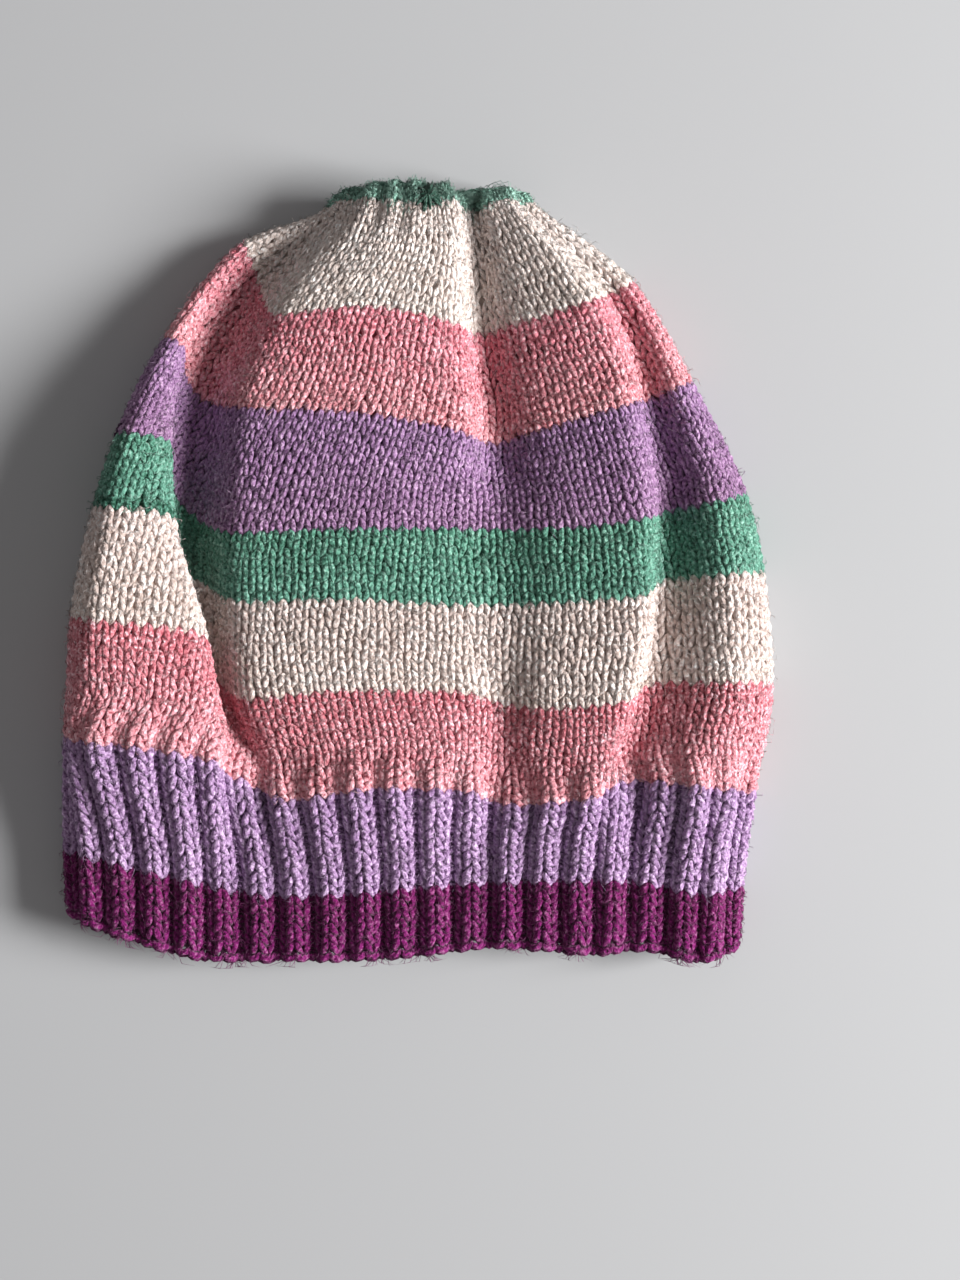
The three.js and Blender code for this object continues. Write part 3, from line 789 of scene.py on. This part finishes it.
# A bump on the inner face, and the courses it is laid over.
INSIDE_BUMP = {
    "across": [-0.55, -0.2, 0.2, 0.55],
    "along": [0.25, 0.60, 0.60, 0.25],
    "height": [0.5, 0.0, 0.0, 0.5],
    "thick": [0.9, 1.2, 1.2, 0.9],
}
INSIDE_COURSES = 10
# Where a colour's first course lies darker on the left lobe: course, the stitch it ends before, how much.
DULL_COURSES = [(35, 13, 0.8)]
# Short dark ends of yarn left at the seams: the seam's course, stitch, how many strands. They lie a
# little over the face in the middle and dip at both ends.
YARN_ENDS = [(43, 2.0, 4), (26, 50.5, 2)]
END_LIFT, END_ARCH, END_RADIUS, END_TINT = 0.0004, 0.0020, 0.00045, -1.0
# Where stray fibres hang from the hem: stitch, and how many; and the courses that they start in.
HEM_TUFTS = [
    (3, 14), (7, 26), (11, 12), (17, 30), (22, 10), (29, 22),
    (33, 34), (41, 10), (46, 18), (55, 44), (59, 14),
]
HEM_COURSES = (-0.9, 0.2)
# The knot in the middle of the gather: its place, its strands with their reach, rise, droop, thickness,
# radius, and the dark tint and share of the darker ground colour that paint shade on the knot, and the
# fibres round it.
PUCKER_X, PUCKER_COURSE = 0.0036, 77.6
PUCKER_STRANDS = 56
PUCKER_REACH = (0.0028, 0.0056)
PUCKER_LIFT, PUCKER_ARCH, PUCKER_STRAY = 0.0010, 0.0014, 0.0003
PUCKER_THICK = [0.5, 0.9, 1.0, 0.9, 0.6]
PUCKER_RADIUS = (0.0006, 0.0008)
PUCKER_SHADE_TINT, PUCKER_GROUND_SHADE = -1.2, 0.75
PUCKER_FIBRES, PUCKER_SPREAD = 900, 13.0
PUCKER_COURSES = (76.3, 82.0)
# How stitches are laid by hand: how far they stray across for what they stray along, how much a stitch
# and each ring of it swell or shrink, and how much the tint differs from stitch to stitch.
ACROSS_STRAY, STITCH_SWELL, RING_SWELL, TINT_STRAY = 0.7, 0.06, 0.05, 0.13
# The yarn's radius in shares of a stitch's width, how much plumper it is in the ribbing, and its least.
YARN_SHARE, RIB_PLUMP, THINNEST_YARN = 0.222, 0.05, 0.0005
# How deep in yarn radii a strand is fully shaded, and how much its end and its underside are.
SHADED_DEPTH = 1.6
END_SHADE, SIDE_SHADE, SHADE_FROM = 0.9, 0.4, 0.2
FLOOR_SHARE = 0.9  # of a strand's radius that stays above the floor
SLOW_DRIFT, QUICK_DRIFT = 0.10, 0.08  # how far columns drift to and fro, in stitches
RIB_STEADY = 0.8  # how much less they drift in the ribbing
RIB_SPREAD = 0.22  # how far knitted columns close over the purled one, in stitches
# How far the purled bumps sink, and how much darker they are painted for the shade in the ribs' valleys.
PURL_SINK, PURL_SHADE_TINT = 0.0004, 0.3
INSIDE_RISE = 0.0006  # how far the inner bumps stand off the wall
# Loose fibres: how far they reach in stitches, how they bend, how pale they are, the depth of their
# root, their mean and greatest height, radius at the root and the tip, and share of a full arch.
FIBRE_REACH = (0.4, 1.2)
FIBRE_BEND, FIBRE_TINT = 0.9, 0.35
FIBRE_ROOT, FIBRE_RISE, FIBRE_TOP = 0.0009, 0.0006, 0.0024
FIBRE_RADIUS, FIBRE_TIP, FIBRE_ARCH = 0.0001, 0.00002, 0.7
COURSES_TO_STITCH = 1.3  # courses as high as one stitch is wide
# The ground behind the stitches: columns round it, the bands of its map, and its inner shade.
GROUND_COLUMNS = STITCHES * 4 // 3
WALL_BAND = 0.48
RIM_LOW, RIM_STEP, RIM_HEIGHT = 0.485, 0.005, 0.004
INNER_GROUND_SHADE = 0.35
EDGE = 1e-6
SEED = 11


class Knitter:
    """Knits one stripe on the fabric, from its first course up to its last."""

    SIDE_STITCHES = 5  # knitted as fine as the front beyond each side

    def __init__(self, fabric, yarn, name, first, last):
        self.fabric = fabric
        self.yarn = yarn
        self.knitting = Knitting(name)
        self.first, self.last = first, last
        self.random = np.random.default_rng(first + SEED)
        self.fine = Strand(5, 5)
        self.plain = Strand(3, 4)
        self.bump = Strand(4, 5)
        self.hair = Strand(3, 3)

    def cells(self, first, last):
        """Middle of each stitch, its course, its width in brim stitches, and whether it is purled."""
        middles, courses, widths, purls = [], [], [], []
        for course in range(first, last):
            count = [left for start, left in DECREASES if course >= start][-1]
            width = STITCHES / count
            in_rib = np.arange(count) % STITCHES_IN_RIB
            middles.append((np.arange(count) + 0.5) * width)
            courses.append(np.full(count, float(course)))
            widths.append(np.full(count, width))
            purls.append((in_rib == STITCHES_IN_RIB - 1) & (course < BRIM_COURSES))
        return [np.concatenate(x) for x in (middles, courses, widths, purls)]

    @staticmethod
    def wander(stitch, course):
        """Hand knitting is uneven: columns drift to and fro a little."""
        slow = np.sin(course * 0.61 + 1.7 * np.sin(stitch * 0.43))
        quick = np.sin(stitch * 0.97 + course * 0.29 + 2.1)
        return (1 - RIB_STEADY * rib_share(course)) * (SLOW_DRIFT * slow + QUICK_DRIFT * quick)

    @staticmethod
    def spread(stitch, course):
        """In ribbing the knitted columns spread and close over the purled one."""
        swing = np.sin(math.tau * (np.mod(stitch, STITCHES_IN_RIB) - 1) / STITCHES_IN_RIB)
        return stitch + RIB_SPREAD * swing * rib_share(course)

    def lay(self, strand, shape, cells, mirror=1.0, sink=0.0, darker=0.0, plump=RIB_PLUMP):
        """Lay one form of strand at every cell given as its middle, course and width."""
        middle, course, width = cells
        form = {key: np.array(values) for key, values in shape.items()}
        count = len(middle)
        stray = self.random.normal(0.0, self.yarn.unevenness, (count, 2))
        swell = self.random.normal(1.0, STITCH_SWELL, (count, 1))
        up = form["along"] + stray[:, :1]
        across = form["across"] * mirror + stray[:, 1:] * ACROSS_STRAY
        stitch = self.spread(middle[:, None] + across * width[:, None], course[:, None] + up)
        stitch = stitch + self.wander(middle, course)[:, None]
        courses = course[:, None] + up
        pitch = self.fabric.pitch(middle, course + 0.5) * width
        share = YARN_SHARE + plump * rib_share(course)
        radius = np.clip(pitch * share, THINNEST_YARN, self.yarn.radius)
        lift = (form["height"] - 1.0) * radius[:, None] - sink
        path = self.fabric.at(stitch, courses, lift)
        out = self.fabric.out_at(stitch, courses)
        thick = form["thick"] * radius[:, None] * swell
        thick = thick * self.random.normal(1.0, RING_SWELL, thick.shape)
        path[..., 2] = np.maximum(path[..., 2], CAD_BOX[0][2] + FLOOR_SHARE * thick)
        shade = np.clip((course - self.first + 0.5) / (self.last - self.first), 0, 1)
        tint = self.random.normal(0.0, TINT_STRAY, count) - darker
        # Painted shade: where the strand dives under its neighbours, and on its underside, it takes the
        # darker ground colour.
        sunk = np.clip(-form["height"] / SHADED_DEPTH, 0, 1)[strand.ring]
        under = np.clip(SHADE_FROM - strand.sin, 0, 1)
        ground = np.clip(END_SHADE * sunk + SIDE_SHADE * under, 0, 1)
        self.knitting.add_strands(strand, path, out, thick, shade, tint, ground)

    def knit(self):
        """All stitches of the stripe, and what is special to it."""
        middle, course, width, purl = self.cells(self.first, self.last)
        front = (middle < FRONT_STITCHES + self.SIDE_STITCHES) | (middle > STITCHES - self.SIDE_STITCHES)

        def pick(chosen):
            return middle[chosen], course[chosen], width[chosen]

        near = front & ~purl
        dull = np.zeros(len(course))
        for dull_course, before, amount in DULL_COURSES:
            dull += amount * ((course == dull_course) & (middle < before))
        for mirror in (1.0, -1.0):
            self.lay(self.fine, LEG, pick(near), mirror, darker=dull[near])
            self.lay(self.plain, PLAIN_LEG, pick(~front & ~purl), mirror)
        if purl.any():
            for bump in BUMPS:
                self.lay(self.bump, bump, pick(purl), sink=PURL_SINK, darker=PURL_SHADE_TINT, plump=0.0)
        if self.first == 0:
            self.cast_on()
            self.hem_tufts()
        if self.first == GATHER_COURSE:
            self.pucker()
        for seam, stitch, count in YARN_ENDS:
            if seam == self.first:
                self.yarn_end(stitch, count)
        if self.first < BRIM_COURSES:
            self.inside()

    def cast_on(self):
        """The rolled edge that the brim was begun with."""
        cells = (np.arange(STITCHES) + 0.5, np.zeros(STITCHES), np.ones(STITCHES))
        for edge in EDGES:
            self.lay(self.fine, edge, cells)

    def inside(self):
        """The bumps that show inside the mouth of the brim."""
        cells = self.cells(self.first, min(self.last, INSIDE_COURSES))
        self.lay(self.plain, INSIDE_BUMP, cells[:3], sink=self.fabric.sizes.rib_wall - INSIDE_RISE)

    def cloth(self):
        """The ground behind the stitches: a closed wall with its inner face."""
        rows = self.last - self.first
        bm = bmesh.new()
        bmesh.ops.create_grid(bm, x_segments=GROUND_COLUMNS, y_segments=rows, size=0.5)
        place = np.array([v.co[:2] for v in bm.verts]) + 0.5
        faces = np.array([[v.index for v in f.verts] for f in bm.faces])
        bm.free()
        count = len(place)
        stitch = place[:, 0] * STITCHES
        course = self.first + place[:, 1] * rows
        outer = self.fabric.at(stitch, course, np.full(count, -self.yarn.ground_depth))
        inner = self.fabric.at(stitch, course, np.full(count, -self.fabric.sizes.knit_wall))
        uv_outer = np.column_stack([place[:, 0], 0.5 + place[:, 1] * WALL_BAND])
        uv_inner = np.column_stack([place[:, 0], place[:, 1] * WALL_BAND])
        twin = self.twins(place, rows)
        walls = np.concatenate([twin[faces], twin[faces][:, ::-1] + count])
        rims, rim_uv = self.rims(place, twin)
        shade = np.clip(place[:, 1], 0, 1)
        self.knitting.add_cloth(
            np.concatenate([outer, inner]), np.concatenate([walls, rims]),
            np.concatenate([uv_outer[faces], uv_inner[faces[:, ::-1]], rim_uv]),
            np.concatenate([shade, shade]),
            # Painted shade: the outer face takes the darker ground colour, the inner face a part of it.
            np.concatenate([np.ones(count), np.full(count, INNER_GROUND_SHADE)]))

    @staticmethod
    def twins(place, rows):
        """For each grid point the one that stands for it, so that the wall closes round the cap."""
        level = np.rint(place[:, 1] * rows).astype(int)
        start = np.flatnonzero(place[:, 0] < EDGE)
        end = np.flatnonzero(place[:, 0] > 1 - EDGE)
        twin = np.arange(len(place))
        twin[end] = start[np.argsort(level[start])][level[end]]
        return twin

    @staticmethod
    def rims(place, twin):
        """Faces that join the outer and the inner wall at both ends, and their places on the map."""
        faces, uv = [], []
        for level in (0, 1):
            ring = np.flatnonzero(np.abs(place[:, 1] - level) < EDGE)
            ring = ring[np.argsort(place[ring, 0])]
            a, b = twin[ring[:-1]], twin[ring[1:]]
            quad = np.column_stack([a, a + len(place), b + len(place), b])
            x0, x1 = place[ring[:-1], 0], place[ring[1:], 0]
            y0 = np.full(len(a), RIM_LOW + RIM_STEP * level)
            y1 = y0 + RIM_HEIGHT
            corners = np.stack([
                np.column_stack([x0, y0]), np.column_stack([x0, y1]),
                np.column_stack([x1, y1]), np.column_stack([x1, y0]),
            ], axis=1)
            faces.append(quad[:, ::-1] if level else quad)
            uv.append(corners[:, ::-1] if level else corners)
        return np.concatenate(faces), np.concatenate(uv)

    def fuzz(self):
        """Loose fibres that stand off the yarn, all over the front."""
        count = self.yarn.fuzz
        stitch = self.random.uniform(-self.SIDE_STITCHES, FRONT_STITCHES + self.SIDE_STITCHES, count)
        self.fibres(stitch, self.random.uniform(self.first, self.last, count))

    def fibres(self, stitch, course, fall=0.0, length=1.0):
        """Loose fibres from places of the face, each bent its own way; fall draws them down the cap."""
        count = len(stitch)
        heading = self.random.uniform(0, math.tau, count)
        reach = self.random.uniform(*FIBRE_REACH, count) * length
        bend = self.random.normal(0, FIBRE_BEND, count)
        share = np.linspace(0, 1, self.hair.rings)[None, :]
        turn = heading[:, None] + bend[:, None] * share
        s = stitch[:, None] + np.cos(turn) * share * reach[:, None]
        c = course[:, None] + (np.sin(turn) * COURSES_TO_STITCH - fall) * share * reach[:, None]
        top = np.minimum(self.random.exponential(FIBRE_RISE, count), FIBRE_TOP)[:, None]
        path = self.fabric.at(s, c, (top + FIBRE_ROOT) * np.sin(np.pi * share * FIBRE_ARCH) - FIBRE_ROOT)
        path[..., 2] = np.maximum(path[..., 2], CAD_BOX[0][2] + FIBRE_RADIUS)
        thick = np.full(path.shape[:2], FIBRE_RADIUS)
        thick[:, -1] = FIBRE_TIP
        shade = np.clip((course - self.first) / (self.last - self.first), 0, 1)
        self.knitting.add_strands(
            self.hair, path, self.fabric.out_at(s, c), thick, shade, np.full(count, FIBRE_TINT))

    def hem_tufts(self):
        """Stray fibres that hang from the cast-on edge."""
        for place, count in HEM_TUFTS:
            stitch = self.random.normal(place, 0.5, count)
            self.fibres(stitch, self.random.uniform(*HEM_COURSES, count), fall=1.0, length=1.6)

    def yarn_end(self, place, count):
        """A short end of an older yarn that lies over the face at the stripe's foot."""
        share = np.linspace(-0.5, 0.5, self.fine.rings)[None, :]
        turn = self.random.uniform(-0.5, 0.5, (count, 1))
        s = place + self.random.normal(0, 0.35, (count, 1)) + np.cos(turn) * share * 0.9
        c = self.first + 0.5 + self.random.normal(0, 0.2, (count, 1)) + np.sin(turn) * share
        lift = END_LIFT - END_ARCH * share ** 2 + np.zeros((count, 1))
        path = self.fabric.at(s, c, lift)
        self.knitting.add_strands(
            self.fine, path, self.fabric.out_at(s, c), np.full(path.shape[:2], END_RADIUS),
            np.full(count, 0.5), np.full(count, END_TINT), 1.0)

    def pucker(self):
        """The drawn-in middle of the crown, where the thread pulls the last stitches together."""
        ring = np.linspace(0, FRONT_STITCHES, 4 * FRONT_STITCHES)
        level = np.full(len(ring), PUCKER_COURSE)
        rim = self.fabric.at(ring, level, np.zeros(len(ring)))
        near = int(np.argmin(np.abs(rim[:, 0] - PUCKER_X)))
        out = self.fabric.out_at(ring, level)[near]
        across = np.cross([0.0, 1.0, 0.0], out)
        across /= np.linalg.norm(across)
        down = np.cross(across, out)
        size = (PUCKER_STRANDS, 1)
        angle = self.random.uniform(0, math.tau, size)
        reach = self.random.uniform(*PUCKER_REACH, size)
        share = np.linspace(-0.2, 1.0, self.fine.rings)[None, :]
        aside = (np.cos(angle) * share * reach)[..., None] * across
        along = (np.sin(angle) * share * reach)[..., None] * down
        lift = PUCKER_LIFT - PUCKER_ARCH * share ** 2 + self.random.normal(0, PUCKER_STRAY, size)
        path = rim[near] + aside + along + lift[..., None] * out
        thick = np.array(PUCKER_THICK)[None, :] * self.random.uniform(*PUCKER_RADIUS, size)
        # Painted shade: the knot's strands get a dark tint and most of the darker ground colour.
        tint = self.random.normal(PUCKER_SHADE_TINT, 0.3, PUCKER_STRANDS)
        self.knitting.add_strands(self.fine, path, np.broadcast_to(out, path.shape), thick,
                                  np.full(PUCKER_STRANDS, 0.5), tint, PUCKER_GROUND_SHADE)
        stitch = self.random.normal(ring[near], PUCKER_SPREAD, PUCKER_FIBRES)
        self.fibres(stitch, self.random.uniform(*PUCKER_COURSES, PUCKER_FIBRES), length=1.3)


FABRIC = {}


def fabric_now(context):
    """The folded fabric for the sizes in the panel, laid out again only when they change."""
    settings = context.scene.nightcap_fabric
    sizes = {key: getattr(settings, key) for key in settings.__annotations__}
    if FABRIC.get("sizes") != sizes:
        FABRIC.update(sizes=sizes, made=Fabric(settings))
    return FABRIC["made"]


def knit_stripe(context, row):
    """One stripe's piece from its row in the table of stripes."""
    node, slot, first, last = row[:4]
    colours = context.scene.nightcap_colours
    knitter = Knitter(fabric_now(context), context.scene.nightcap_yarn, node + "_knit", first, last)
    knitter.cloth()
    knitter.knit()
    knitter.fuzz()
    material = yarn_material(
        node + "_wool", *(tuple(getattr(colours, f"{node}_{end}")) for end in YARN_COLOURS))
    add_piece(knitter.knitting.mesh(), node, material)


class NIGHTCAP_OT_brim(bpy.types.Operator):
    """Knit the ribbed brim: the magenta edge and the lilac ribbing"""

    bl_idname = "nightcap.brim"
    bl_label = "Brim"

    def execute(self, context):
        for row in STRIPES[:2]:
            knit_stripe(context, row)
        return {"FINISHED"}


class NIGHTCAP_OT_body(bpy.types.Operator):
    """Knit the plain stripes of the body"""

    bl_idname = "nightcap.body"
    bl_label = "Body stripes"

    def execute(self, context):
        for row in STRIPES[2:-1]:
            knit_stripe(context, row)
        return {"FINISHED"}


class NIGHTCAP_OT_crown(bpy.types.Operator):
    """Knit the crown and draw it together"""

    bl_idname = "nightcap.crown"
    bl_label = "Gathered crown"

    def execute(self, context):
        knit_stripe(context, STRIPES[-1])
        return {"FINISHED"}


# Lights: where each stands, its side and its colour. They aim at the middle of the floor.
KEY_LIGHT = {"place": (1.90, -0.14, 1.00), "size": 0.85, "colour": (1.0, 0.985, 0.96)}
FILL_LIGHT = {"place": (-0.8, -0.3, 0.7), "size": 0.9, "colour": (0.93, 0.96, 1.0)}
SKY_COLOUR = (1.0, 0.955, 0.93, 1.0)
FLOOR_HALF = 2.5
FLOOR_DROP = 0.0004
FILM = 36.0


def plain_material(name, colour, roughness):
    """One even colour."""
    shader = Shader(name)
    surface = shader.node("ShaderNodeBsdfPrincipled", {}, {
        "Base Color": (*colour, 1.0), "Roughness": roughness,
    })
    shader.node("ShaderNodeOutputMaterial", {}, {"Surface": surface})
    return shader.material


def area_light(name, power, place, size, colour):
    """A soft square light at a place, turned to the middle of the floor."""
    data = bpy.data.lights.new(name, "AREA")
    data.shape = "SQUARE"
    data.size = size
    data.energy = power
    data.color = colour
    light = bpy.data.objects.new(name, data)
    light.location = place
    light.rotation_euler = (-Vector(place)).to_track_quat("-Z", "Y").to_euler()
    bpy.context.scene.collection.objects.link(light)


class NIGHTCAP_OT_stage(bpy.types.Operator):
    """Set the floor, the soft lights and the camera above the cap"""

    bl_idname = "nightcap.stage"
    bl_label = "Stage"

    def execute(self, context):
        s = context.scene.nightcap_stage
        bm = bmesh.new()
        bmesh.ops.create_grid(bm, x_segments=1, y_segments=1, size=FLOOR_HALF)
        bmesh.ops.translate(bm, verts=bm.verts, vec=(0, 0, CAD_BOX[0][2] - FLOOR_DROP))
        mesh = bpy.data.meshes.new("floor")
        bm.to_mesh(mesh)
        bm.free()
        floor = bpy.data.objects.new("floor", mesh)
        context.scene.collection.objects.link(floor)
        mesh.materials.append(plain_material("pale_floor", tuple(s.floor), 0.8))
        area_light("key", s.key_power, **KEY_LIGHT)
        area_light("fill", s.fill_power, **FILL_LIGHT)
        world = bpy.data.worlds.new("soft_sky")
        world.use_nodes = True
        sky = world.node_tree.nodes["Background"]
        sky.inputs["Color"].default_value = SKY_COLOUR
        sky.inputs["Strength"].default_value = s.sky
        context.scene.world = world
        context.scene.view_settings.view_transform = "Standard"
        data = bpy.data.cameras.new("camera")
        camera = bpy.data.objects.new("camera", data)
        context.scene.collection.objects.link(camera)
        height = (CAD_BOX[0][2] + CAD_BOX[1][2]) / 2
        camera.location = (s.look_x, s.look_y, height + s.distance)
        data.sensor_fit = "AUTO"
        data.sensor_width = FILM
        data.lens = FILM * s.distance / s.view_height
        data.clip_start = 0.01
        context.scene.camera = camera
        return {"FINISHED"}


class NIGHTCAP_PT_panel(bpy.types.Panel):
    """The nightcap's sizes and steps"""

    bl_label = "Nightcap"
    bl_space_type = "VIEW_3D"
    bl_region_type = "UI"
    bl_category = "Nightcap"

    def draw(self, context):
        for group in GROUPS:
            settings = getattr(context.scene, group)
            for key in settings.__annotations__:
                self.layout.prop(settings, key)
        for step in STEPS:
            self.layout.operator(step.bl_idname)


GROUPS = {
    "nightcap_fabric": NightcapFabric,
    "nightcap_yarn": NightcapYarn,
    "nightcap_colours": NightcapColours,
    "nightcap_stage": NightcapStage,
}
STEPS = (NIGHTCAP_OT_stage, NIGHTCAP_OT_brim, NIGHTCAP_OT_body, NIGHTCAP_OT_crown)


def register():
    for cls in (*GROUPS.values(), *STEPS, NIGHTCAP_PT_panel):
        bpy.utils.register_class(cls)
    for name, cls in GROUPS.items():
        setattr(bpy.types.Scene, name, bpy.props.PointerProperty(type=cls))


def unregister():
    for name in GROUPS:
        delattr(bpy.types.Scene, name)
    for cls in reversed((*GROUPS.values(), *STEPS, NIGHTCAP_PT_panel)):
        bpy.utils.unregister_class(cls)


def main():
    register()
    bpy.ops.nightcap.stage()
    bpy.ops.nightcap.brim()
    bpy.ops.nightcap.body()
    bpy.ops.nightcap.crown()


if __name__ == "__main__":
    main()
